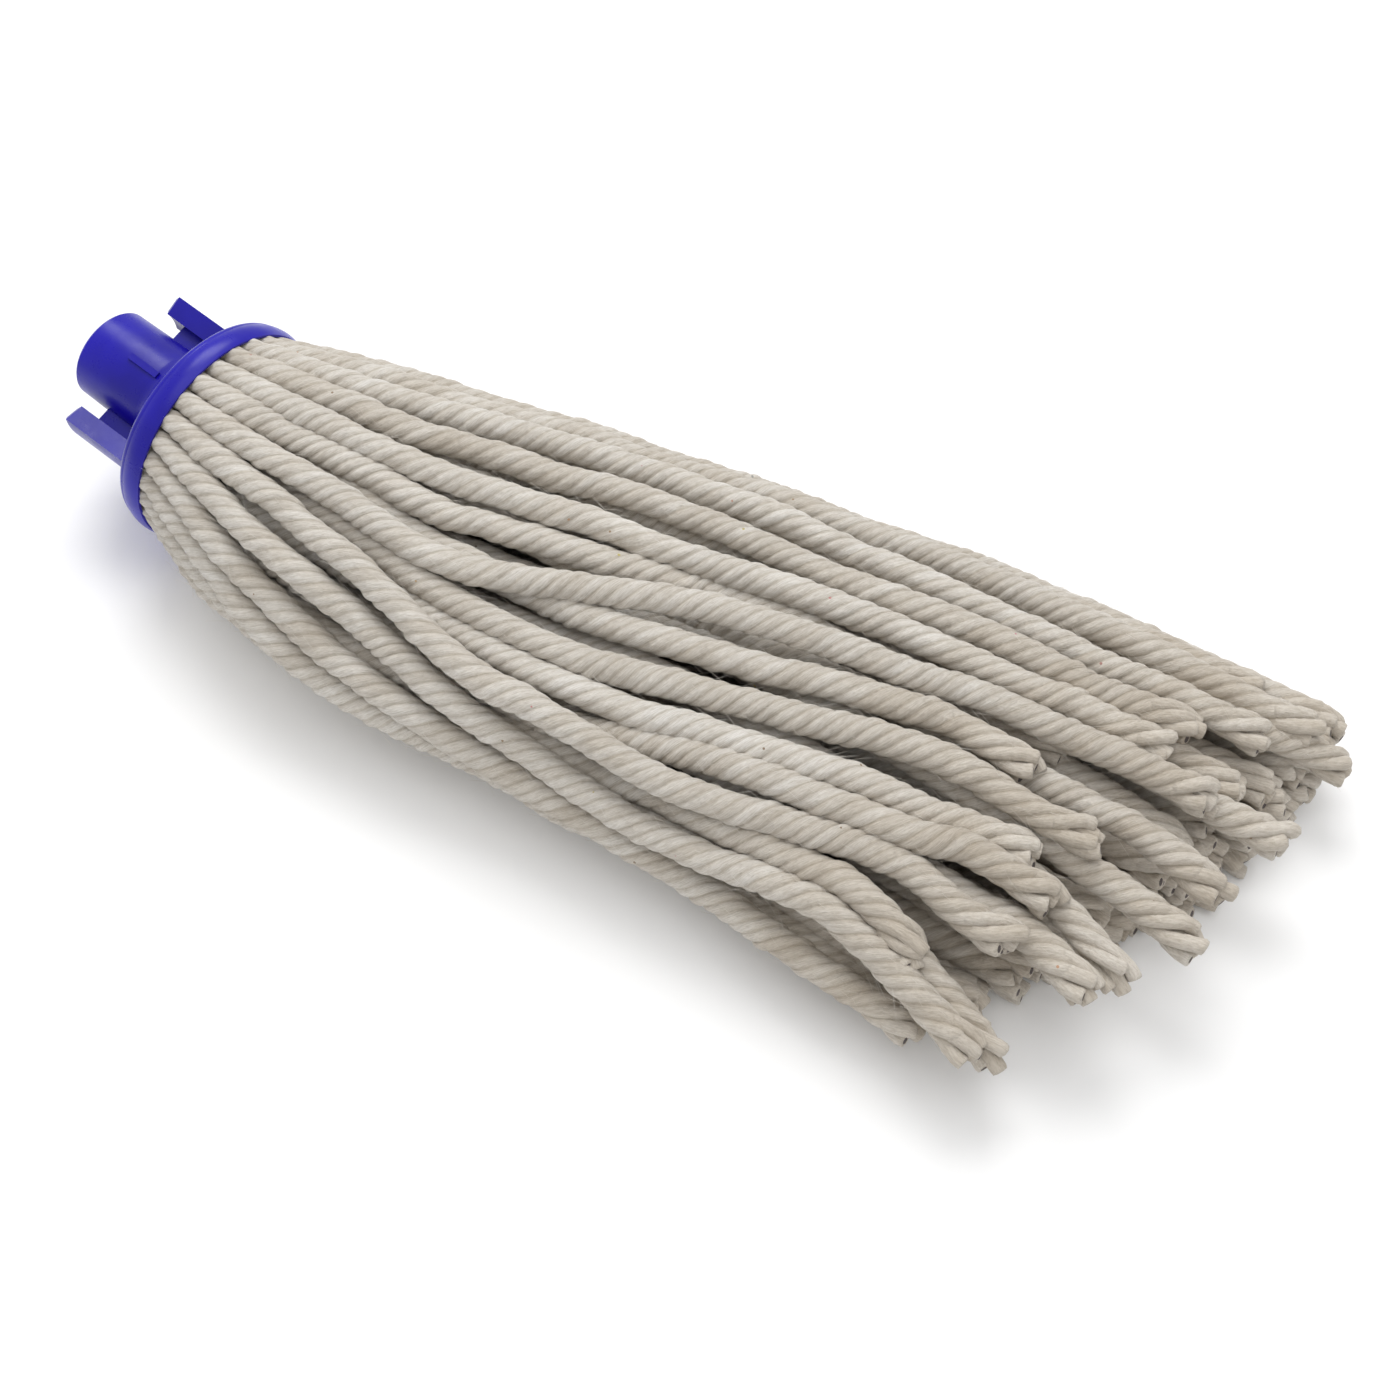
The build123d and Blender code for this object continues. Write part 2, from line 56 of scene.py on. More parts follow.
# ---- the cap's place and the bundle's shape, as in the CAD model ----
TILT = radians(10.0)
RIM_CENTRE = Vector((0.02226, 0, 0.03746))
TO_HANDLE = Vector((-cos(TILT), 0, sin(TILT)))
CAP_UP = Vector((sin(TILT), 0, cos(TILT)))
STRAND_D = 0.0074
STRAND_R = STRAND_D / 2
LAYER = 0.0088  # from one layer of strands to the next
RING_R = (0.033, 0.0254, 0.0184)  # the three rings of strands in the cap
RING_STEP = (0.0038, 0.0029, 0.0021)  # how far each ring spreads on its way out
START_H = 0.0036  # a route's first point, above the rim and inside the cap
CLEAR_H = -0.012  # its second point, clear of the cap

# distance from the rim, middle y, half width, height of the middle, height of the top
SECTIONS = (
    (0.000, 0.000, 0.0370, 0.0370, 0.0720),
    (0.045, 0.0025, 0.0495, 0.0330, 0.0680),
    (0.100, 0.012, 0.0600, 0.0280, 0.0600),
    (0.170, 0.026, 0.0645, 0.0250, 0.0550),
    (0.235, 0.035, 0.0705, 0.0225, 0.0510),
    (0.300, 0.0385, 0.0775, 0.0200, 0.0420),
    (0.350, 0.0395, 0.0785, 0.0190, 0.0350),
)

# Routes: the ring and clock angle in the cap, then distance from the rim, clock angle and layer.
ROUTES = {
    "yarn_01": (0, 6, [(0.038, 4, 0), (0.084, 353, 0), (0.137, 344, 0),
        (0.190, 343, 0), (0.243, 346, 0), (0.291, 344, 0), (0.334, 347, 0)]),
    "yarn_02": (0, 18, [(0.037, 15, 0), (0.085, 6, 0), (0.134, 357, 0),
        (0.188, 353, 0), (0.241, 357, 0), (0.289, 353, 0), (0.331, 356, 0)]),
    "yarn_03": (0, 30, [(0.039, 27, 0), (0.083, 16, 0), (0.138, 7, 0),
        (0.192, 3, 0), (0.244, 6, 0), (0.290, 5, 0), (0.335, 6, 0)]),
    "yarn_04": (0, 42, [(0.038, 37, 0), (0.086, 25, 0), (0.135, 16, 0),
        (0.187, 11, 0), (0.236, 13, 0), (0.277, 15, 0), (0.312, 14, 0)]),
    "yarn_05": (0, 54, [(0.038, 49, 0), (0.084, 35, 0), (0.137, 25, 0),
        (0.190, 21, 0), (0.243, 22, 0), (0.290, 23, 0), (0.331, 17, 0)]),
    "yarn_06": (0, 66, [(0.038, 62, 0), (0.070, 54, 0), (0.111, 41, 0), (0.157, 35, 0),
        (0.211, 40, 0), (0.257, 39, 0), (0.296, 33, 0), (0.321, 29, 0)]),
    "yarn_07": (0, 78, [(0.039, 75, 0), (0.070, 71, 0), (0.108, 61, 0), (0.150, 54, 0),
        (0.203, 57, -0.1), (0.247, 52, -0.1), (0.278, 49, -0.1), (0.303, 41, -0.1)]),
    "yarn_08": (0, 90, [(0.038, 90, 0), (0.070, 87, 0), (0.116, 80, 0), (0.164, 75, 0),
        (0.203, 70, 0), (0.237, 66, 0), (0.269, 60, 0), (0.300, 52, 0.1)]),
    "yarn_09": (0, 102, [(0.037, 101, 0.1), (0.070, 98, 0.3), (0.100, 98, 0.4),
        (0.138, 88, 0.5), (0.176, 79, 0.7), (0.224, 71, 0.9), (0.276, 67, 0.9)]),
    "yarn_10": (0, 114, [(0.038, 114, 0), (0.070, 115, -0.2), (0.103, 121, -0.2), (0.140, 108, -0.1), (0.183, 91, -0.3),
        (0.221, 86, -0.3), (0.258, 76, -0.1), (0.296, 66, 0), (0.319, 60, 0)]),
    "yarn_11": (0, 126, [(0.038, 127, 0), (0.062, 129, -0.1), (0.090, 134, -0.3), (0.125, 147, -0.5),
        (0.158, 150, -0.5), (0.195, 154, -0.4), (0.228, 149, -0.1), (0.259, 142, 0), (0.280, 146, 0), (0.296, 145, 0)]),
    "yarn_12": (0, 138, [(0.038, 140, 0), (0.062, 145, 0), (0.095, 150, 0.2), (0.125, 160, 0.1), (0.158, 168, 0.1),
        (0.192, 171, 0), (0.227, 165, 0), (0.254, 161, 0), (0.278, 167, 0), (0.302, 172, 0)]),
    "yarn_13": (0, 150, [(0.038, 154, 0), (0.062, 162, 0), (0.095, 171, 0.2), (0.130, 176, 0.1), (0.172, 181, 0),
        (0.209, 188, 0), (0.240, 184, 0), (0.264, 186, 0), (0.285, 190, 0)]),
    "yarn_14": (0, 162, [(0.039, 167, 0), (0.062, 177, 0), (0.090, 185, 0), (0.131, 189, 0),
        (0.183, 192, 0), (0.222, 195, 0), (0.255, 194, 0), (0.282, 199, 0)]),
    "yarn_15": (0, 174, [(0.038, 180, 0), (0.083, 195, 0), (0.135, 199, 0),
        (0.191, 201, 0), (0.238, 206, 0), (0.272, 204, 0), (0.295, 207, 0)]),
    "yarn_16": (0, 186, [(0.037, 193, 0), (0.085, 205, 0), (0.136, 208, 0),
        (0.187, 209, 0), (0.232, 214, 0), (0.265, 212, 0), (0.290, 215, 0)]),
    "yarn_17": (0, 198, [(0.038, 205, 0), (0.084, 214, 0), (0.137, 216, 0),
        (0.190, 217, 0), (0.239, 222, 0), (0.275, 219, 0), (0.300, 222, 0)]),
    "yarn_18": (0, 210, [(0.039, 216, 0), (0.083, 223, 0), (0.134, 225, 0),
        (0.188, 226, 0), (0.241, 231, 0), (0.276, 229, 0), (0.303, 232, 0)]),
    "yarn_19": (0, 222, [(0.038, 227, 0), (0.086, 233, 0), (0.136, 234, 0),
        (0.191, 235, 0), (0.240, 240, 0), (0.280, 238, 0), (0.308, 240, 0)]),
    "yarn_20": (0, 234, [(0.037, 238, 0), (0.084, 243, 0), (0.135, 244, 0),
        (0.189, 245, 0), (0.243, 249, 0), (0.284, 248, 0), (0.314, 250, 0)]),
    "yarn_21": (0, 246, [(0.038, 249, 0), (0.083, 253, 0), (0.137, 253, 0),
        (0.190, 255, 0), (0.241, 258, 0), (0.284, 257, 0), (0.315, 258, 0)]),
    "yarn_22": (0, 258, [(0.039, 259, 0), (0.085, 262, 0), (0.134, 263, 0),
        (0.187, 264, 0), (0.240, 266, 0), (0.286, 266, 0), (0.318, 268, 0)]),
    "yarn_23": (0, 270, [(0.038, 270, 0), (0.084, 272, 0), (0.136, 273, 0),
        (0.191, 274, 0), (0.242, 275, 0), (0.289, 276, 0), (0.321, 277, 0)]),
    "yarn_24": (0, 282, [(0.037, 281, 0), (0.083, 282, 0), (0.135, 283, 0),
        (0.188, 284, 0), (0.241, 284, 0), (0.288, 286, 0), (0.325, 287, 0)]),
    "yarn_25": (0, 294, [(0.038, 292, 0), (0.086, 291, 0), (0.137, 293, 0),
        (0.190, 293, 0), (0.243, 293, 0), (0.290, 295, 0), (0.329, 296, 0)]),
    "yarn_26": (0, 306, [(0.039, 303, 0), (0.084, 301, 0), (0.134, 301, 0),
        (0.189, 303, 0), (0.240, 302, 0), (0.289, 304, 0), (0.328, 304, 0)]),
    "yarn_27": (0, 318, [(0.038, 314, 0), (0.085, 311, 0), (0.136, 310, 0),
        (0.191, 311, 0), (0.242, 311, 0), (0.290, 313, 0), (0.332, 313, 0)]),
    "yarn_28": (0, 330, [(0.037, 326, 0), (0.083, 321, 0), (0.135, 318, 0),
        (0.188, 319, 0), (0.241, 320, 0), (0.288, 321, 0), (0.334, 322, 0)]),
    "yarn_29": (0, 342, [(0.038, 338, 0), (0.084, 331, 0), (0.137, 326, 0),
        (0.190, 327, 0), (0.243, 328, 0), (0.291, 329, 0), (0.336, 331, 0)]),
    "yarn_30": (0, 354, [(0.039, 350, 0), (0.086, 342, 0), (0.134, 335, 0),
        (0.187, 335, 0), (0.240, 337, 0), (0.289, 336, 0), (0.337, 339, 0)]),
    "yarn_31": (1, 8, [(0.040, 9, 1), (0.096, 4, 1), (0.150, 1, 1),
        (0.206, 0, 1), (0.260, 2, 1), (0.306, 1, 1), (0.337, 3, 1)]),
    "yarn_32": (1, 24, [(0.039, 23, 1.1), (0.094, 20, 1), (0.152, 17, 1),
        (0.208, 16, 1), (0.258, 17, 1), (0.292, 16, 1), (0.318, 15, 1)]),
    "yarn_33": (1, 41, [(0.041, 41, 1), (0.097, 36, 1), (0.149, 32, 1), (0.205, 32, 1),
        (0.261, 31, 0.9), (0.300, 24, 0.7), (0.324, 18, 0.6), (0.343, 11, 0.9)]),
    "yarn_34": (1, 57, [(0.040, 57, 1), (0.095, 54, 1), (0.151, 47, 1),
        (0.207, 47, 1), (0.259, 46, 1), (0.298, 43, 1), (0.322, 40, 1)]),
    "yarn_35": (1, 74, [(0.039, 75, 1.1), (0.096, 71, 1), (0.150, 64, 1), (0.204, 61, 1),
        (0.257, 59, 1), (0.300, 57, 0.8), (0.325, 53, 0.8), (0.341, 46, 0.9)]),
    "yarn_36": (1, 90, [(0.041, 89, 1), (0.094, 87, 1.1), (0.152, 91, 1.3), (0.206, 89, 1.1),
        (0.250, 90, 1), (0.283, 90, 0.8), (0.309, 87, 0.3), (0.333, 92, 0.3)]),
    "yarn_37": (1, 106, [(0.040, 107, 1), (0.097, 110, 0.9), (0.135, 117, 0.5), (0.167, 113, 0.2),
        (0.202, 104, 0.1), (0.228, 98, 0.2), (0.252, 90, 0), (0.275, 92, 0)]),
    "yarn_38": (1, 123, [(0.039, 122, 1), (0.075, 124, 0.8), (0.109, 131, 0.3), (0.151, 133, 0), (0.190, 125, 0),
        (0.226, 114, 0), (0.255, 106, 0), (0.286, 107, 0), (0.300, 104, 0)]),
    "yarn_39": (1, 139, [(0.041, 139, 1), (0.075, 137, 1), (0.110, 139, 0.7), (0.140, 142, 0.1), (0.168, 140, 0),
        (0.200, 136, 0), (0.237, 128, 0), (0.262, 125, 0.1), (0.288, 118, 0.2)]),
    "yarn_40": (1, 155, [(0.040, 155, 1), (0.075, 154, 1), (0.115, 156, 1), (0.155, 156, 0.7), (0.185, 146, 0.1),
        (0.217, 140, -0.1), (0.254, 134, -0.3), (0.281, 128, -0.2), (0.299, 131, 0)]),
    "yarn_41": (1, 172, [(0.040, 172, 1), (0.100, 170, 1), (0.160, 167, 1),
        (0.205, 164, 0.7), (0.236, 156, 0.1), (0.258, 152, -0.2), (0.278, 160, 0)]),
    "yarn_42": (1, 188, [(0.042, 188, 1), (0.098, 185, 1), (0.158, 181, 1),
        (0.210, 174, 1), (0.250, 162, 0.9), (0.280, 165, 0.9), (0.306, 180, 0.8)]),
    "yarn_43": (1, 205, [(0.040, 204, 1), (0.101, 203, 1), (0.161, 199, 1),
        (0.220, 195, 1), (0.264, 192, 1), (0.294, 198, 1)]),
    "yarn_44": (1, 221, [(0.041, 222, 1), (0.099, 219, 1), (0.159, 216, 1),
        (0.219, 213, 1), (0.266, 211, 1), (0.301, 214, 1)]),
    "yarn_45": (1, 237, [(0.040, 237, 1), (0.102, 235, 1), (0.162, 232, 1),
        (0.221, 232, 1), (0.268, 230, 1), (0.306, 232, 1)]),
    "yarn_46": (1, 254, [(0.042, 254, 1), (0.098, 250, 1), (0.158, 250, 1),
        (0.218, 249, 1), (0.270, 249, 1), (0.310, 250, 1)]),
    "yarn_47": (1, 270, [(0.040, 269, 1), (0.100, 270, 1), (0.161, 267, 1),
        (0.222, 269, 1), (0.276, 268, 1), (0.317, 270, 1)]),
    "yarn_48": (1, 286, [(0.041, 286, 1), (0.099, 285, 1), (0.159, 287, 1),
        (0.220, 286, 1), (0.278, 288, 1), (0.322, 288, 1)]),
    "yarn_49": (1, 303, [(0.040, 302, 1), (0.101, 301, 1), (0.162, 301, 1),
        (0.223, 304, 1), (0.280, 303, 1), (0.326, 305, 1)]),
    "yarn_50": (1, 319, [(0.042, 319, 1), (0.098, 316, 1), (0.158, 317, 1),
        (0.218, 318, 1), (0.279, 320, 1), (0.330, 321, 1)]),
    "yarn_51": (1, 336, [(0.040, 334, 1), (0.100, 331, 1), (0.161, 330, 1),
        (0.221, 333, 1), (0.281, 333, 1), (0.333, 335, 1)]),
    "yarn_52": (1, 352, [(0.041, 350, 1), (0.099, 346, 1), (0.160, 344, 1),
        (0.222, 345, 1), (0.283, 345, 1), (0.336, 346, 1)]),
    "yarn_53": (2, 12, [(0.042, 14, 2), (0.104, 18, 1.9), (0.166, 19, 1.9),
        (0.226, 15, 2), (0.270, 12, 2)]),
    "yarn_54": (2, 42, [(0.043, 41, 2), (0.103, 42, 2), (0.165, 40, 2),
        (0.227, 38, 1.9), (0.280, 33, 1.9), (0.322, 33, 1.8)]),
    "yarn_55": (2, 72, [(0.042, 73, 2), (0.105, 71, 2), (0.167, 69, 2),
        (0.225, 68, 1.9), (0.278, 66, 1.7), (0.318, 70, 1.5)]),
    "yarn_56": (2, 102, [(0.044, 101, 2), (0.104, 102, 1.9), (0.164, 100, 1.5),
        (0.226, 108, 1.1), (0.272, 107, 1), (0.308, 111, 0.7), (0.334, 117, 0.8)]),
    "yarn_57": (2, 132, [(0.042, 133, 2), (0.103, 130, 1.9), (0.166, 124, 1.2),
        (0.225, 127, 1.1), (0.270, 124, 1.1), (0.302, 130, 0.7), (0.323, 141, 0.7)]),
    "yarn_58": (2, 162, [(0.043, 160, 2), (0.105, 156, 2), (0.165, 148, 1.5),
        (0.224, 147, 1.1), (0.268, 142, 0.9), (0.296, 141, 0.7), (0.318, 148, 0.5)]),
    "yarn_59": (2, 192, [(0.042, 194, 2), (0.104, 198, 2), (0.164, 194, 2),
        (0.212, 186, 2), (0.242, 183, 2)]),
    "yarn_60": (2, 222, [(0.044, 223, 2), (0.103, 224, 2), (0.166, 221, 2),
        (0.226, 216, 1.9), (0.270, 213, 1.9), (0.302, 214, 1.8)]),
    "yarn_61": (2, 252, [(0.042, 253, 2), (0.105, 251, 2), (0.165, 252, 2),
        (0.227, 246, 1.9), (0.276, 241, 1.9), (0.309, 242, 1.8)]),
    "yarn_62": (2, 282, [(0.043, 281, 2), (0.104, 283, 2), (0.167, 281, 2),
        (0.226, 282, 1.9), (0.279, 280, 1.9), (0.318, 281, 1.8)]),
    "yarn_63": (2, 312, [(0.042, 313, 2), (0.103, 311, 2), (0.166, 313, 2),
        (0.225, 311, 1.9), (0.281, 314, 1.9), (0.322, 313, 1.8)]),
    "yarn_64": (2, 342, [(0.044, 340, 2), (0.105, 334, 2), (0.165, 333, 2),
        (0.227, 336, 1.9), (0.283, 338, 1.9), (0.328, 337, 1.8)]),
}
SHARED = {
    "inner_yarn_a": ("yarn_41", "yarn_47"),
    "inner_yarn_b": ("yarn_42", "yarn_48"),
    "inner_yarn_c": ("yarn_43", "yarn_49"),
    "inner_yarn_d": ("yarn_44", "yarn_50"),
    "inner_yarn_e": ("yarn_45", "yarn_51"),
    "inner_yarn_f": ("yarn_46", "yarn_52"),
    "inner_yarn_g": ("yarn_53", "yarn_59"),
    "inner_yarn_h": ("yarn_54", "yarn_60"),
    "inner_yarn_i": ("yarn_55", "yarn_61"),
    "inner_yarn_j": ("yarn_56", "yarn_62"),
    "inner_yarn_k": ("yarn_57", "yarn_63"),
    "inner_yarn_l": ("yarn_58", "yarn_64"),
}


def section_at(x):
    """Middle y, half width, middle height and top height of the bundle at a distance from the rim."""
    for (x0, *low), (x1, *high) in zip(SECTIONS, SECTIONS[1:]):
        if x <= x1:
            share = (x - x0) / (x1 - x0)
            return [a + share * (b - a) for a, b in zip(low, high)]
    raise ValueError(f"{x} is past the last section")


def cap_point(ring, clock, height, spread=0.0):
    """A point on one of the cap's rings, but never lower than a strand lying on the surface."""
    out = RING_R[ring] + spread
    angle = radians(clock)
    point = RIM_CENTRE + TO_HANDLE * height + Vector((0, out * cos(angle), 0)) + CAP_UP * (out * sin(angle))
    return (point.x, point.y, max(point.z, STRAND_R))


def bundle_point(x, clock, layer):
    """A point of the bundle, where equal steps of the clock angle are about equal steps round it."""
    middle_y, half_width, middle_z, top_z = section_at(x)
    up = top_z - middle_z
    down = middle_z - STRAND_R
    angle = radians(clock)
    turn = atan2(sqrt(half_width / up) * sin(angle), cos(angle))
    side = (up if turn > 0 else down) - layer * LAYER
    y = middle_y + (half_width - layer * LAYER) * cos(turn)
    return (RIM_CENTRE.x + x, y, max(middle_z + side * sin(turn), STRAND_R))


def route_points(ring, clock, along):
    """All the points of one strand, from inside the cap to its cut end."""
    first = cap_point(ring, clock, START_H)
    second = cap_point(ring, clock, CLEAR_H, RING_STEP[ring])
    return [first, second] + [bundle_point(*place) for place in along]


def smooth_line(points, name):
    """Points read from the NURBS spline whose control points are the route's."""
    curve = bpy.data.curves.new(name + "_route", "CURVE")
    curve.dimensions = "3D"
    spline = curve.splines.new("NURBS")
    spline.points.add(len(points) - 1)
    for knot, point in zip(spline.points, points):
        knot.co = (*point, 1.0)
    spline.order_u = 3
    spline.use_endpoint_u = True
    spline.resolution_u = 14
    holder = bpy.data.objects.new(name + "_route", curve)
    mesh = bpy.data.meshes.new_from_object(holder)
    line = np.array([tuple(v.co) for v in mesh.vertices])
    bpy.data.objects.remove(holder)
    bpy.data.curves.remove(curve)
    bpy.data.meshes.remove(mesh)
    return line


# ---- lines, frames and tubes ----
FLOOR_GAP = 0.0002  # the lowest that any point lies above the surface


def soft_steps(low, high, values):
    """0 below low, 1 above high, smooth between."""
    t = np.clip((values - low) / (high - low), 0, 1)
    return t * t * (3 - 2 * t)


def drift(count, step, wave, seed):
    """A slow random line, mostly between -1 and 1, that changes over about one wave length."""
    own = np.random.default_rng(seed)
    knots = own.normal(size=int(count * step / wave) + 5)
    place = np.arange(count) * step / wave + 1
    low = np.floor(place).astype(int)
    t = place - low
    t = t * t * (3 - 2 * t)
    return np.clip(knots[low] * (1 - t) + knots[low + 1] * t, -1.7, 1.7)


def frames_along(line):
    """Unit tangents and a frame that doesn't twist, one for each point of a line."""
    tangent = np.gradient(line, axis=0)
    tangent /= np.linalg.norm(tangent, axis=1)[:, None]
    side = np.zeros_like(line)
    start = np.cross(tangent[0], (0.0, 0.0, 1.0))
    side[0] = start / np.linalg.norm(start)
    for i in range(1, len(line)):
        kept = side[i - 1] - tangent[i] * np.dot(side[i - 1], tangent[i])
        side[i] = kept / np.linalg.norm(kept)
    return tangent, side, np.cross(tangent, side)


def resampled(line, step):
    """The same line at even steps, and the length along it of each point."""
    runs = np.linalg.norm(np.diff(line, axis=0), axis=1)
    along = np.concatenate(([0.0], np.cumsum(runs)))
    count = max(4, int(round(along[-1] / step)) + 1)
    places = np.linspace(0, along[-1], count)
    return np.stack([np.interp(places, along, line[:, k]) for k in range(3)], axis=1), places


def read_at(here, places, values):
    """Rows of values, one for each of places, read at other places."""
    return np.stack([np.interp(here, places, values[:, k]) for k in range(3)], axis=1)


def rings_round(centres, side, up, reach, turned):
    """Rings of points at a reach and an angle (rows by points) round each centre."""
    return (
        centres[:, None, :]
        + (reach * np.cos(turned))[:, :, None] * side[:, None, :]
        + (reach * np.sin(turned))[:, :, None] * up[:, None, :]
    )


def even_angles(count):
    return np.arange(count) * 2 * pi / count


def ring_faces(rings, sides, first):
    """Quads between rings of points."""
    i = np.arange(rings - 1)[:, None]
    j = np.arange(sides)[None, :]
    k = (j + 1) % sides
    quads = np.stack([i * sides + j, i * sides + k, (i + 1) * sides + k, (i + 1) * sides + j], axis=-1)
    return (quads.reshape(-1, 4) + first).tolist()


class Pile:
    """Points, faces and per-point marks of one mesh in the making.

    The four marks are: how deep in a groove, a ply's own tint, a strand's own tint, and how near the cut end.
    The coords lie along and round the ply, for the fibres' direction.
    """

    def __init__(self):
        self.points = []
        self.faces = []
        self.marks = []
        self.coords = []
        self.count = 0

    def tube(self, rings, marks, coords, closed=True, end_mark=None):
        """Add rings (n, m, 3) with marks (n, m, 4) and coords (n, m, 3) as a tube."""
        n, m = rings.shape[:2]
        first = self.count
        self.points.append(rings.reshape(-1, 3))
        self.marks.append(marks.reshape(-1, 4))
        self.coords.append(coords.reshape(-1, 3))
        self.faces.extend(ring_faces(n, m, first))
        self.count += n * m
        if not closed:
            return
        for row, at_start in ((0, True), (n - 1, False)):
            self.points.append(rings[row].mean(axis=0)[None])
            mark = marks[row].mean(axis=0)[None].copy()
            if end_mark is not None and not at_start:
                mark[0, 3] = end_mark
            self.marks.append(mark)
            self.coords.append(coords[row].mean(axis=0)[None])
            base = first + row * m
            for j in range(m):
                k = (j + 1) % m
                pair = (base + k, base + j) if at_start else (base + j, base + k)
                self.faces.append([pair[0], pair[1], self.count])
            self.count += 1

    def mesh(self, name):
        points = np.concatenate(self.points)
        points[:, 2] = np.maximum(points[:, 2], FLOOR_GAP)
        data = bpy.data.meshes.new(name)
        data.from_pydata(points.tolist(), [], self.faces)
        data.polygons.foreach_set("use_smooth", [True] * len(data.polygons))
        marks = data.attributes.new("marks", "FLOAT_COLOR", "POINT")
        marks.data.foreach_set("color", np.concatenate(self.marks).astype(np.float32).ravel())
        coords = data.attributes.new("lay", "FLOAT_VECTOR", "POINT")
        coords.data.foreach_set("vector", np.concatenate(self.coords).astype(np.float32).ravel())
        data.validate()
        data.update()
        piece = bpy.data.objects.new(name, data)
        SCENE.collection.objects.link(piece)
        return piece


# ---- twisted strands ----
# the lay: plies, their pitch, and the grooves between them
PLIES = 5
PITCH = 0.0235  # one whole turn of the plies
PITCH_DRIFT, PITCH_WAVE = 0.13, 0.035
OPEN_PITCH = 0.9  # how much longer the pitch gets where the end comes apart
NOTCH, NOTCH_SHARP = 0.115, 2.0  # depth of the grooves as a share of the radius, and how narrow they are
OPEN_NOTCH, OPEN_SHARP = 0.16, 2.2  # how much deeper they get where the end comes apart
GROOVE_SHARP = 2.6  # how narrow the shade in them is
STOUT_DRIFT, STOUT_WAVE = 0.05, 0.018  # how much the plies of a strand differ in thickness
# the radius: squeezed in the cap, fuller outside it, and again towards the cut end
SQUEEZED_R = 0.00352
FREE_GAIN, FREE_SPAN = 0.00100, (0.003, 0.024)
LOOSE_GAIN, LOOSE_SPAN = 0.00022, (0.17, 0.30)
RADIUS_DRIFT, RADIUS_WAVE = 0.035, 0.02
END_SWELL = 0.07
# how a strand strays from its smooth route
SWAY, SWAY_WAVE = 0.00075, 0.022
FARTHEST_SWAY = 0.0010
SWAY_IN = (0.01, 0.06)  # lengths from the start where it fades in
SWAY_OUT = (0.035, 0.012)  # lengths from the cut end where it fades out
# the cut end: its plies part at a share of the frayed length
FRAY_LENGTH = (0.012, 0.020)
PARTING = 0.6
OPEN_BEFORE = 0.008  # the plies begin to loosen this far before the frayed length,
OPEN_FULLY = 0.3  # and are loose at this share of it
NECK_LENGTH = 0.004  # the twisted part narrows over this length, inside the loose plies,
NECK_KEPT = 0.0036  # is drawn up to here,
NECK_WIDTH = 0.15  # and would narrow to this share of its radius
# the loose plies
PLY_R, PLY_OUT = 0.39, 0.60  # radius and distance from the middle, as shares of the strand's radius
CORE_GAIN = 1.1
PLY_SIDES, PLY_STEP, PLY_ROWS = 8, 0.0011, 6
PLY_OVERLAP = 0.0035  # how far before the parting they start
PLY_CUT, CORE_CUT = (-0.0032, 0.0008), (-0.0015, 0.0015)  # how far past the strand's end they are cut
DROOP, SPLAY, BEND = (0.0, 0.0025), (0.0006, 0.0026), 0.0012
PLY_DRIFT, PLY_FLARE = 0.03, 0.16
ROUGHNESS, ROUGHEST = 0.035, 1.6
CUT_TAPER, LAST_STEP = 0.88, 0.4  # the last ring is a little smaller and close to the one before
CORE_DOT, CORE_RISE = 0.35, 0.00012  # a smaller ring on the cut face bounds the ply's dark core
FARTHEST_PLY = 0.0039  # from a strand's middle
LOWEST_PLY = 0.0011
# marks for the material
END_GREY, GREY_SPAN = 0.5, (0.09, 0.01)  # the cut end's mark, and the lengths from the end where it fades in
CORE_RING_MARK, CORE_MARK = 0.8, 1.0  # the same mark round and in a cut ply's core
CORE_GROOVE = 0.25  # the core ply lies a little in the shade
LAY_UNIT = 0.008  # length along a strand for one step of the fibres' pattern
LAY_ROUND, PLY_LAY_ROUND = 0.5, 0.2  # and the pattern's steps round a strand and a loose ply

Strand = namedtuple("Strand", "centres radius side up tangent places")


def lobe_profile(per_lobe):
    """Angles round a strand, and how far down a groove is there, from 0 on a ply's crown to 1."""
    step = 2 * pi / PLIES / per_lobe
    within = (np.arange(per_lobe) * step) - pi / PLIES
    angles = np.concatenate([within + pi / PLIES + k * 2 * pi / PLIES for k in range(PLIES)])
    return angles, np.tile(np.abs(within / (pi / PLIES)), PLIES)


def radius_along(places, seed, step):
    free = soft_steps(*FREE_SPAN, places)
    loose = soft_steps(*LOOSE_SPAN, places)
    unevenness = 1 + RADIUS_DRIFT * drift(len(places), step, RADIUS_WAVE, seed)
    return (SQUEEZED_R + FREE_GAIN * free + LOOSE_GAIN * loose) * unevenness


def sway_along(places, seed, step):
    """How far a strand strays from its route: not at all in the cap or at its cut end."""
    total = places[-1]
    sway = [drift(len(places), step, SWAY_WAVE, seed * 3 + axis) for axis in range(3)]
    sway = np.stack(sway, axis=1) * SWAY
    sway *= np.minimum(1, FARTHEST_SWAY / np.maximum(np.linalg.norm(sway, axis=1), 1e-9))[:, None]
    fade_out = soft_steps(total - SWAY_OUT[0], total - SWAY_OUT[1], places)
    return sway * (soft_steps(*SWAY_IN, places) * (1 - fade_out))[:, None]


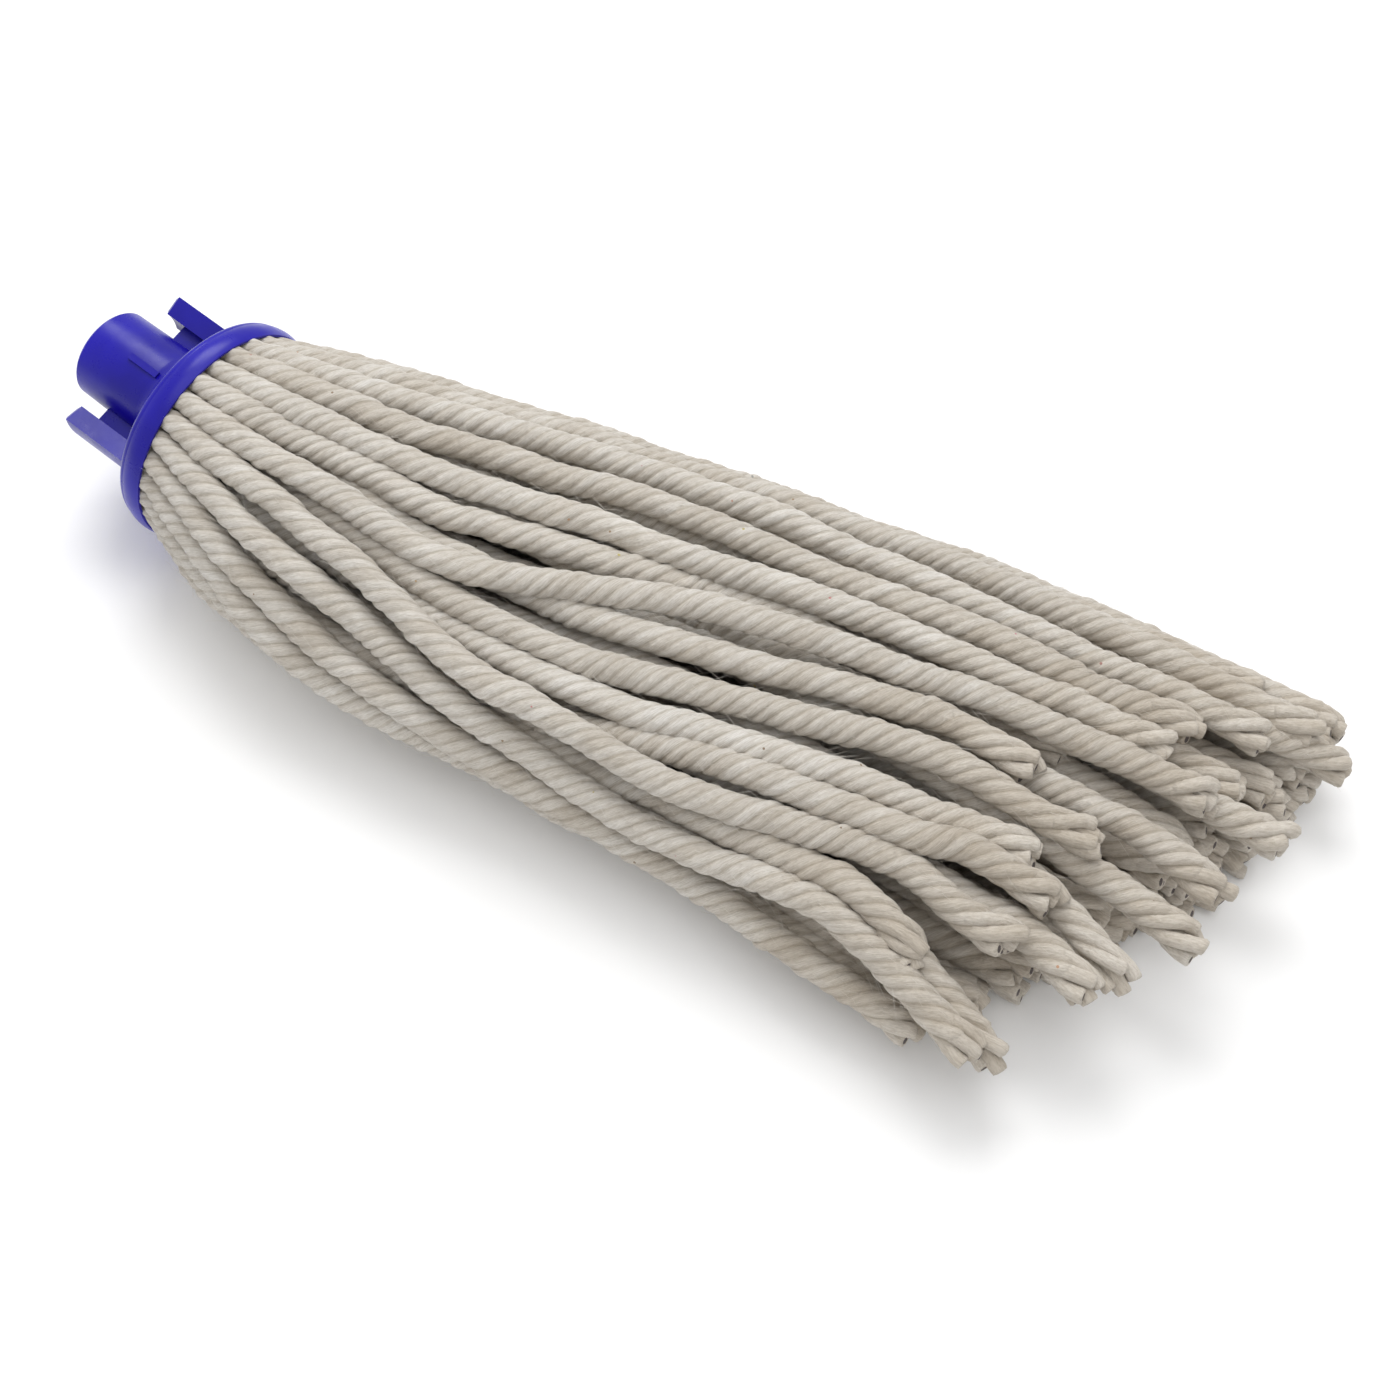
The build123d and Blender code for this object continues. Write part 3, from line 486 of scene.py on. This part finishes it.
def loose_plies(pile, own, strand, phase, swell, parting, seed, ply_tint, tint):
    """The separate plies at a strand's cut end, and a core between them."""
    centres, radius, side, up, tangent, places = strand
    total = places[-1]
    round_ply = even_angles(PLY_SIDES)
    droop = own.uniform(*DROOP)
    for k in range(PLIES + 1):
        core = k == PLIES
        begin = parting - PLY_OVERLAP
        finish = total + own.uniform(*(CORE_CUT if core else PLY_CUT))
        count = max(PLY_ROWS, int((finish - begin) / PLY_STEP))
        here = np.linspace(begin, finish, count)
        t = (here - begin) / (finish - begin)

        # the ply's own line
        middle = read_at(here, places, centres)
        middle += np.maximum(here - total, 0)[:, None] * tangent[-1][None, :]
        side_here = read_at(here, places, side)
        up_here = read_at(here, places, up)
        turn = np.interp(here, places, phase) + k * 2 * pi / PLIES + pi / PLIES
        big = np.interp(here, places, radius) * np.interp(here, places, swell)
        splay = 0.0 if core else own.uniform(*SPLAY)
        out = (0.0 if core else PLY_OUT) * big + splay * t**1.6
        off = (out * np.cos(turn))[:, None] * side_here + (out * np.sin(turn))[:, None] * up_here
        off += (t**2)[:, None] * own.normal(0, BEND, 3)[None, :]
        off[:, 2] -= droop * t**2
        away = np.linalg.norm(off, axis=1)
        base = middle + off * np.minimum(1, FARTHEST_PLY / np.maximum(away, 1e-6))[:, None]
        base[:, 2] = np.maximum(base[:, 2], LOWEST_PLY)

        # its thickness and surface
        thick = big * PLY_R * (1 + PLY_DRIFT * own.normal()) * (1 + PLY_FLARE * t) * (CORE_GAIN if core else 1.0)
        thick[-1] *= CUT_TAPER
        base[-1] = base[-2] + (base[-1] - base[-2]) * LAST_STEP
        tangents, sides, ups = frames_along(base)
        rough = 1 + ROUGHNESS * np.clip(own.normal(size=(count, PLY_SIDES)), -ROUGHEST, ROUGHEST)
        rough[-1] = 1
        tube = rings_round(base, sides, ups, thick[:, None] * rough, round_ply[None, :])
        inner = base[-1][None, :] + CORE_DOT * (tube[-1] - base[-1][None, :]) + CORE_RISE * tangents[-1][None, :]
        tube = np.concatenate([tube, inner[None]], axis=0)

        marks = np.zeros(tube.shape[:2] + (4,))
        marks[..., 0] = CORE_GROOVE if core else 0.0
        marks[..., 1] = own.uniform(0, 1) if core else ply_tint[k]
        marks[..., 2] = tint
        marks[..., 3] = END_GREY
        marks[-1, :, 3] = CORE_RING_MARK
        coords = np.zeros(tube.shape)
        coords[..., 0] = (np.cos(round_ply) * PLY_LAY_ROUND)[None, :] + seed + k
        coords[..., 1] = (np.sin(round_ply) * PLY_LAY_ROUND)[None, :] + k
        coords[..., 2] = np.append(here, here[-1])[:, None] / LAY_UNIT
        pile.tube(tube, marks, coords, end_mark=CORE_MARK)


def twisted_strand(pile, line, seed, per_lobe, step, tint):
    """One strand of plies laid left-handed round each other, coming apart at its cut end."""
    own = np.random.default_rng(seed)
    centres, places = resampled(line, step)
    total = places[-1]
    spacing = places[1]
    centres += sway_along(places, seed, spacing)
    tangent, side, up = frames_along(centres)
    radius = radius_along(places, seed, spacing)
    strand = Strand(centres, radius, side, up, tangent, places)

    fray = own.uniform(*FRAY_LENGTH)
    parting = total - PARTING * fray
    open_up = soft_steps(total - fray - OPEN_BEFORE, total - OPEN_FULLY * fray, places)
    pitch = PITCH * (1 + PITCH_DRIFT * drift(len(places), spacing, PITCH_WAVE, seed + 500))
    pitch = pitch * (1 + OPEN_PITCH * open_up)
    phase = own.uniform(0, 2 * pi) - np.concatenate(([0.0], np.cumsum(2 * pi * spacing / pitch[1:])))

    angles, depth = lobe_profile(per_lobe)
    groove = depth**GROOVE_SHARP
    outline = 1 - NOTCH * depth**NOTCH_SHARP
    # plies that differ a little in thickness, and change slowly along the strand
    stout = [STOUT_DRIFT * drift(len(places), spacing, STOUT_WAVE, seed * 11 + k) for k in range(PLIES)]
    stout = np.repeat(np.stack(stout, axis=1), per_lobe, axis=1)
    deeper = (depth**OPEN_SHARP)[None, :] * open_up[:, None] * OPEN_NOTCH
    swell = 1 + END_SWELL * open_up
    reach = radius[:, None] * swell[:, None] * outline[None, :] * (1 + stout * (1 - groove)[None, :])
    reach = reach - radius[:, None] * deeper
    neck = 1 - soft_steps(parting, parting + NECK_LENGTH, places)
    reach *= (NECK_WIDTH + (1 - NECK_WIDTH) * neck)[:, None]
    last = int(np.searchsorted(places, parting + NECK_KEPT))
    rings = rings_round(centres, side, up, reach, angles[None, :] + phase[:, None])

    ply_tint = own.uniform(0, 1, PLIES)
    marks = np.zeros(rings.shape[:2] + (4,))
    marks[..., 0] = groove[None, :]
    marks[..., 1] = np.repeat(ply_tint, per_lobe)[None, :]
    marks[..., 2] = tint
    marks[..., 3] = END_GREY * soft_steps(total - GREY_SPAN[0], total - GREY_SPAN[1], places)[:, None]
    coords = np.zeros(rings.shape)
    coords[..., 0] = (np.cos(angles) * LAY_ROUND)[None, :] + seed * 1.7
    coords[..., 1] = (np.sin(angles) * LAY_ROUND)[None, :] + seed * 0.9
    coords[..., 2] = places[:, None] / LAY_UNIT
    pile.tube(rings[:last], marks[:last], coords[:last])
    loose_plies(pile, own, strand, phase, swell, parting, seed, ply_tint, tint)
    return strand


# points across a ply and step along the strand, for the strands that are mostly seen and for those inside
FINE = (8, 0.0012)
COARSE = (7, 0.0015)

lines = {name: smooth_line(route_points(*route), name) for name, route in ROUTES.items()}
alone = sorted(set(ROUTES) - {name for names in SHARED.values() for name in names})
laid = {}
yarn_pieces = []
for number, name in enumerate(alone):
    pile = Pile()
    laid[name] = twisted_strand(pile, lines[name], 100 + number, *FINE, rng.uniform(0, 1))
    piece = pile.mesh(name + "_twist")
    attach(piece, "root")
    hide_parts(name)
    yarn_pieces.append(piece)
for number, (label, names) in enumerate(SHARED.items()):
    pile = Pile()
    for half, name in enumerate(names):
        laid[name] = twisted_strand(pile, lines[name], 200 + 2 * number + half, *COARSE, rng.uniform(0, 1))
    piece = pile.mesh(label + "_twist")
    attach(piece, "root")
    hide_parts(label)
    yarn_pieces.append(piece)

# ---- fuzz: fine loose fibres on the strands ----
FIBRES = 15000
CORDS = 40  # the first strands laid, those that are mostly seen
SEEN_SHARE = 0.8  # of the fibres that are on one of those
FIBRE_LENGTH = (0.002, 0.0075)
FIBRE_R = (0.000028, 0.000048)
FIBRE_TAPER = np.array([1.0, 0.95, 0.8, 0.4])
FIBRE_ROWS = (0.0, 0.33, 0.66, 1.0)
FIBRE_SIDES = 3
LEAN, LIFT, CURL = (-0.9, 0.9), (0.12, 0.55), (-0.5, 0.9)
ROOT = 0.93  # where a fibre starts, as a share of the strand's radius
LOWEST_FIBRE = 0.0006

fuzz = Pile()
names = list(laid)
round_fibre = even_angles(FIBRE_SIDES)
for number in range(FIBRES):
    name = names[int(rng.integers(0, CORDS if rng.uniform() < SEEN_SHARE else len(names)))]
    strand = laid[name]
    i = int(rng.integers(8, len(strand.places) - 6))
    turn = rng.uniform(0, 2 * pi)
    outward = cos(turn) * strand.side[i] + sin(turn) * strand.up[i]
    if outward[2] < -0.3 and strand.centres[i][2] < 0.02:
        continue  # pressed on the floor
    along = strand.tangent[i] * rng.choice((-1, 1))
    across = np.cross(along, outward)
    length = rng.uniform(*FIBRE_LENGTH)
    lean = rng.uniform(*LEAN)
    lift = rng.uniform(*LIFT)
    curl = rng.uniform(*CURL)
    start = strand.centres[i] + outward * strand.radius[i] * ROOT
    rows = []
    for t in FIBRE_ROWS:
        travel = along * t + across * lean * t * (1 - 0.3 * t) + outward * (lift * t - curl * 0.4 * t * t)
        rows.append(start + travel * length)
    rows = np.array(rows)
    rows[:, 2] = np.maximum(rows[:, 2], LOWEST_FIBRE)
    _, sides, ups = frames_along(rows)
    size = rng.uniform(*FIBRE_R) * FIBRE_TAPER
    tube = rings_round(rows, sides, ups, size[:, None], round_fibre[None, :])
    marks = np.zeros(tube.shape[:2] + (4,))
    marks[..., 1] = rng.uniform(0, 1)
    marks[..., 2] = 0.9
    coords = np.zeros(tube.shape)
    coords[..., 0] = number * 0.37
    fuzz.tube(tube, marks, coords)
fuzz_piece = fuzz.mesh("yarn_fuzz")
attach(fuzz_piece, "root")

# ---- folded middle of the yarn, inside the cap ----
# distance from the cap's axis and height above the rim, once round the fold's section
FOLD_PROFILE = (
    (0.0148, 0.0062), (0.0150, 0.0130), (0.0215, 0.0116), (0.0264, 0.0100), (0.0308, 0.0076),
    (0.0340, 0.0062), (0.0352, 0.0050), (0.0296, 0.0048), (0.0234, 0.0048), (0.0172, 0.0048),
)
FOLD_RIPPLES = 30
RIPPLE = 0.00035
RIPPLE_FROM = 0.005  # the side towards the rim is flat
FOLD_SINK = 0.0004  # how far the visual fold stays under the CAD one
FOLD_LAY_UNIT = 0.004

fold = Pile()
around = np.linspace(0, 2 * pi, FOLD_RIPPLES * 6, endpoint=False)
rows = []
for out, height in FOLD_PROFILE:
    ripple = RIPPLE * np.cos(around * FOLD_RIPPLES) if height > RIPPLE_FROM else 0.0 * around
    reach = out + 0.2 * ripple
    level = height + ripple - FOLD_SINK
    rows.append(
        np.array(RIM_CENTRE)[None, :]
        + np.array(TO_HANDLE)[None, :] * level[:, None]
        + np.array((0.0, 1.0, 0.0))[None, :] * (reach * np.cos(around))[:, None]
        + np.array(CAP_UP)[None, :] * (reach * np.sin(around))[:, None]
    )
rows.append(rows[0])
rows = np.array(rows)
marks = np.zeros(rows.shape[:2] + (4,))
marks[..., 0] = (0.5 - 0.5 * np.cos(around * FOLD_RIPPLES))[None, :]
marks[..., 1] = 0.5
marks[..., 2] = 0.4
fold.tube(rows, marks, rows / FOLD_LAY_UNIT, closed=False)
fold_piece = fold.mesh("yarn_fold_cloth")
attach(fold_piece, "root")
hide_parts("yarn_fold")

# ---- materials ----
WHITE = (1.0, 1.0, 1.0)


def new_material(name):
    material = bpy.data.materials.new(name)
    material.use_nodes = True
    nodes = material.node_tree.nodes
    return material, nodes, material.node_tree.links, nodes["Principled BSDF"]


def noise(nodes, links, vector, scale, detail, rough):
    node = nodes.new("ShaderNodeTexNoise")
    node.inputs["Scale"].default_value = scale
    node.inputs["Detail"].default_value = detail
    node.inputs["Roughness"].default_value = rough
    links.new(vector, node.inputs["Vector"])
    return node.outputs["Fac"]


def stretched(nodes, links, vector, scale):
    node = nodes.new("ShaderNodeMapping")
    node.inputs["Scale"].default_value = scale
    links.new(vector, node.inputs["Vector"])
    return node.outputs[0]


def toned(nodes, links, factor, *stops):
    """A colour ramp over a factor; stops are places and colours."""
    node = nodes.new("ShaderNodeValToRGB")
    ramp = node.color_ramp
    while len(ramp.elements) < len(stops):
        ramp.elements.new(0.5)
    for element, (place, color) in zip(ramp.elements, stops):
        element.position = place
        element.color = (*color, 1.0)
    links.new(factor, node.inputs[0])
    return node.outputs[0]


def mixed(nodes, links, factor, first, second, blend="MIX"):
    """Two colours mixed; each of the three may be a socket or a value."""
    node = nodes.new("ShaderNodeMix")
    node.data_type = "RGBA"
    node.blend_type = blend
    for socket, value in ((node.inputs[0], factor), (node.inputs[6], first), (node.inputs[7], second)):
        if isinstance(value, bpy.types.NodeSocket):
            links.new(value, socket)
        elif isinstance(value, (int, float)):
            socket.default_value = value
        else:
            socket.default_value = (*value, 1.0)
    return node.outputs[2]


def computed(nodes, links, operation, first, second):
    """A math node; the second may be a socket or a number."""
    node = nodes.new("ShaderNodeMath")
    node.operation = operation
    links.new(first, node.inputs[0])
    if isinstance(second, bpy.types.NodeSocket):
        links.new(second, node.inputs[1])
    else:
        node.inputs[1].default_value = second
    return node.outputs[0]


def bumped(nodes, links, height, strength, distance, normal=None):
    node = nodes.new("ShaderNodeBump")
    node.inputs["Strength"].default_value = strength
    node.inputs["Distance"].default_value = distance
    links.new(height, node.inputs["Height"])
    if normal is not None:
        links.new(normal, node.inputs["Normal"])
    return node.outputs[0]


def set_inputs(shader, **values):
    """Set the shader's sockets; spaces in their names are written as underscores."""
    for name, value in values.items():
        shader.inputs[name.replace("_", " ")].default_value = value


cotton, nodes, links, shader = new_material("twisted_cotton")
marks_in = nodes.new("ShaderNodeAttribute")
marks_in.attribute_name = "marks"
lay_in = nodes.new("ShaderNodeAttribute")
lay_in.attribute_name = "lay"
split = nodes.new("ShaderNodeSeparateColor")
links.new(marks_in.outputs["Color"], split.inputs[0])
groove_mark, ply_mark, strand_mark = split.outputs[:3]
end_mark = marks_in.outputs["Alpha"]
object_place = nodes.new("ShaderNodeTexCoord").outputs["Object"]

ply_tone = toned(
    nodes, links, ply_mark,
    (0.0, (0.82, 0.775, 0.708)), (0.55, (0.89, 0.855, 0.798)), (1.0, (0.935, 0.908, 0.862)),
)
strand_tone = toned(nodes, links, strand_mark, (0.0, (0.90, 0.885, 0.865)), (1.0, WHITE))
color = mixed(nodes, links, 1.0, ply_tone, strand_tone, "MULTIPLY")
blotch = noise(nodes, links, object_place, 55.0, 4.0, 0.6)
blotch_tone = toned(nodes, links, blotch, (0.30, (0.86, 0.835, 0.80)), (0.62, WHITE))
color = mixed(nodes, links, 0.8, color, blotch_tone, "MULTIPLY")
# fine fibres along the plies
fibre = noise(nodes, links, stretched(nodes, links, lay_in.outputs["Vector"], (9.0, 9.0, 1.7)), 2.2, 5.0, 0.75)
fibre_tone = toned(nodes, links, fibre, (0.36, (0.66, 0.625, 0.57)), (0.60, WHITE))
color = mixed(nodes, links, 0.75, color, fibre_tone, "MULTIPLY")
# dust and shade down in the grooves
groove_tone = toned(nodes, links, groove_mark, (0.12, WHITE), (1.0, (0.78, 0.745, 0.69)))
color = mixed(nodes, links, 0.85, color, groove_tone, "MULTIPLY")
# a few coloured and dark specks
specks = nodes.new("ShaderNodeTexVoronoi")
specks.inputs["Scale"].default_value = 170.0
links.new(object_place, specks.inputs["Vector"])
pick = nodes.new("ShaderNodeSeparateColor")
links.new(specks.outputs["Color"], pick.inputs[0])
near = computed(nodes, links, "LESS_THAN", specks.outputs["Distance"], 0.075)
rare = computed(nodes, links, "GREATER_THAN", pick.outputs[0], 0.86)
speck_tone = toned(
    nodes, links, pick.outputs[1],
    (0.0, (0.30, 0.22, 0.15)), (0.45, (0.42, 0.30, 0.18)), (0.6, (0.65, 0.28, 0.32)),
    (0.8, (0.65, 0.55, 0.2)), (1.0, (0.25, 0.3, 0.45)),
)
color = mixed(nodes, links, computed(nodes, links, "MULTIPLY", near, rare), color, speck_tone)
# the fringe is greyer than the rest, and the cores of the cut plies are dark
color = mixed(nodes, links, end_mark, color, (0.80, 0.74, 0.66), "MULTIPLY")
core_dot = computed(nodes, links, "GREATER_THAN", end_mark, 0.70)
color = mixed(nodes, links, core_dot, color, (0.10, 0.075, 0.07))
links.new(color, shader.inputs["Base Color"])
set_inputs(shader, Roughness=0.92, Specular_IOR_Level=0.18, Sheen_Weight=0.22, Sheen_Roughness=0.55)
fibre_bump = bumped(nodes, links, fibre, 1.0, 0.0007)
nap = noise(nodes, links, object_place, 620.0, 4.0, 0.65)
links.new(bumped(nodes, links, nap, 0.8, 0.0005, fibre_bump), shader.inputs["Normal"])


def gloss_between(nodes, links, factor, rough, rougher, start=0.0, end=1.0):
    """Roughness that goes from rough to rougher as the factor goes from start to end."""
    node = nodes.new("ShaderNodeMapRange")
    node.inputs["From Min"].default_value = start
    node.inputs["From Max"].default_value = end
    node.inputs["To Min"].default_value = rough
    node.inputs["To Max"].default_value = rougher
    links.new(factor, node.inputs["Value"])
    return node.outputs[0]


def moulded(name, low, high, rough):
    """Injection-moulded plastic: slight flow marks in colour and gloss, faint orange peel."""
    material, nodes, links, shader = new_material(name)
    place = nodes.new("ShaderNodeTexCoord").outputs["Object"]
    flow = noise(nodes, links, place, 28.0, 4.0, 0.55)
    links.new(toned(nodes, links, flow, (0.35, low), (0.65, high)), shader.inputs["Base Color"])
    scuff = noise(nodes, links, place, 160.0, 5.0, 0.7)
    links.new(gloss_between(nodes, links, scuff, rough, rough + 0.16, 0.3, 0.75), shader.inputs["Roughness"])
    peel = noise(nodes, links, place, 420.0, 2.0, 0.5)
    links.new(bumped(nodes, links, peel, 0.12, 0.0002), shader.inputs["Normal"])
    set_inputs(shader, Specular_IOR_Level=0.34)
    return material


blue = moulded("royal_blue_plastic", (0.006, 0.002, 0.25), (0.010, 0.005, 0.37), 0.24)
plug_blue = moulded("plug_plastic", (0.015, 0.015, 0.20), (0.025, 0.025, 0.26), 0.5)

zinc, nodes, links, shader = new_material("zinc_steel")
place = nodes.new("ShaderNodeTexCoord").outputs["Object"]
grain = noise(nodes, links, stretched(nodes, links, place, (300.0, 300.0, 2000.0)), 1.0, 4.0, 0.6)
grain_tone = toned(nodes, links, grain, (0.3, (0.42, 0.42, 0.43)), (0.7, (0.62, 0.62, 0.64)))
links.new(grain_tone, shader.inputs["Base Color"])
links.new(gloss_between(nodes, links, grain, 0.28, 0.5), shader.inputs["Roughness"])
set_inputs(shader, Metallic=1.0)


def dress(piece, material):
    if len(piece.material_slots) == 0:
        piece.data.materials.append(material)
    for slot in piece.material_slots:
        slot.material = material


for piece in yarn_pieces + [fuzz_piece, fold_piece]:
    dress(piece, cotton)
for node, material in (("socket_cap", blue), ("clamp_plug", plug_blue), ("screw_washer", zinc), ("clamp_screw", zinc)):
    dress(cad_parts[node], material)

# ---- floor and light ----
FLOOR_HALF = 6
AIM = (0.15, 0.02, 0.02)

floor_mesh = bpy.data.meshes.new("floor")
corners = [(x * FLOOR_HALF, y * FLOOR_HALF, 0) for x, y in ((-1, -1), (1, -1), (1, 1), (-1, 1))]
floor_mesh.from_pydata(corners, [], [(0, 1, 2, 3)])
floor = bpy.data.objects.new("floor", floor_mesh)
SCENE.collection.objects.link(floor)
pale, nodes, links, shader = new_material("pale_floor")
set_inputs(shader, Base_Color=(0.93, 0.93, 0.93, 1.0), Roughness=0.8, Specular_IOR_Level=0.1)
dress(floor, pale)

world = bpy.data.worlds.new("studio")
world.use_nodes = True
background = world.node_tree.nodes["Background"]
background.inputs["Color"].default_value = (1.0, 1.0, 1.0, 1.0)
background.inputs["Strength"].default_value = 0.72
SCENE.world = world
SCENE.view_settings.view_transform = "Standard"


def softbox(name, place, width, height, watts):
    lamp = bpy.data.lights.new(name, "AREA")
    lamp.shape = "RECTANGLE"
    lamp.size = width
    lamp.size_y = height
    lamp.energy = watts
    holder = bpy.data.objects.new(name, lamp)
    holder.location = place
    holder.rotation_euler = (Vector(AIM) - Vector(place)).to_track_quat("-Z", "Y").to_euler()
    SCENE.collection.objects.link(holder)


softbox("key", (-0.25, 0.55, 1.15), width=0.8, height=0.6, watts=9.0)
softbox("top", (0.35, -0.1, 1.4), width=1.2, height=0.9, watts=4.0)
